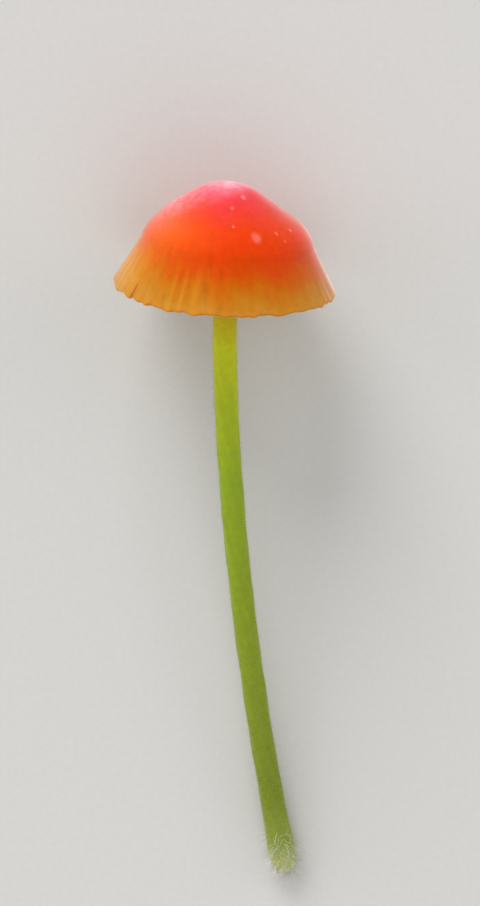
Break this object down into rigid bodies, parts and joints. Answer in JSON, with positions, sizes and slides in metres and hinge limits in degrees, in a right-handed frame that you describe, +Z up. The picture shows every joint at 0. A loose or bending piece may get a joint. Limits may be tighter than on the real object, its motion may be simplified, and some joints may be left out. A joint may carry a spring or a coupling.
{
  "type": "orange bonnet mushroom",
  "caption": "Small picked bonnet mushroom lying on its side: a bell-shaped orange cap with a scalloped rim and gills beneath, on a slender curved yellow-green stem.",
  "frame": {"origin": "on the surface that the mushroom lies on, under the middle of its whole box", "axes": "+Y from the foot of the stem towards the cap, +Z up from the surface, +X to the side that the stem bends to"},
  "size_m": [0.01, 0.0324, 0.0094],
  "materials": {
    "cap": "moist satin skin, red at the top and yellow-orange at the translucent rim",
    "stem": "matt translucent yellow-green skin with a fine pale down"
  },
  "bodies": {
    "root": {"cap_with_gills": "cap", "stem": "stem"}
  },
  "joints": []
}
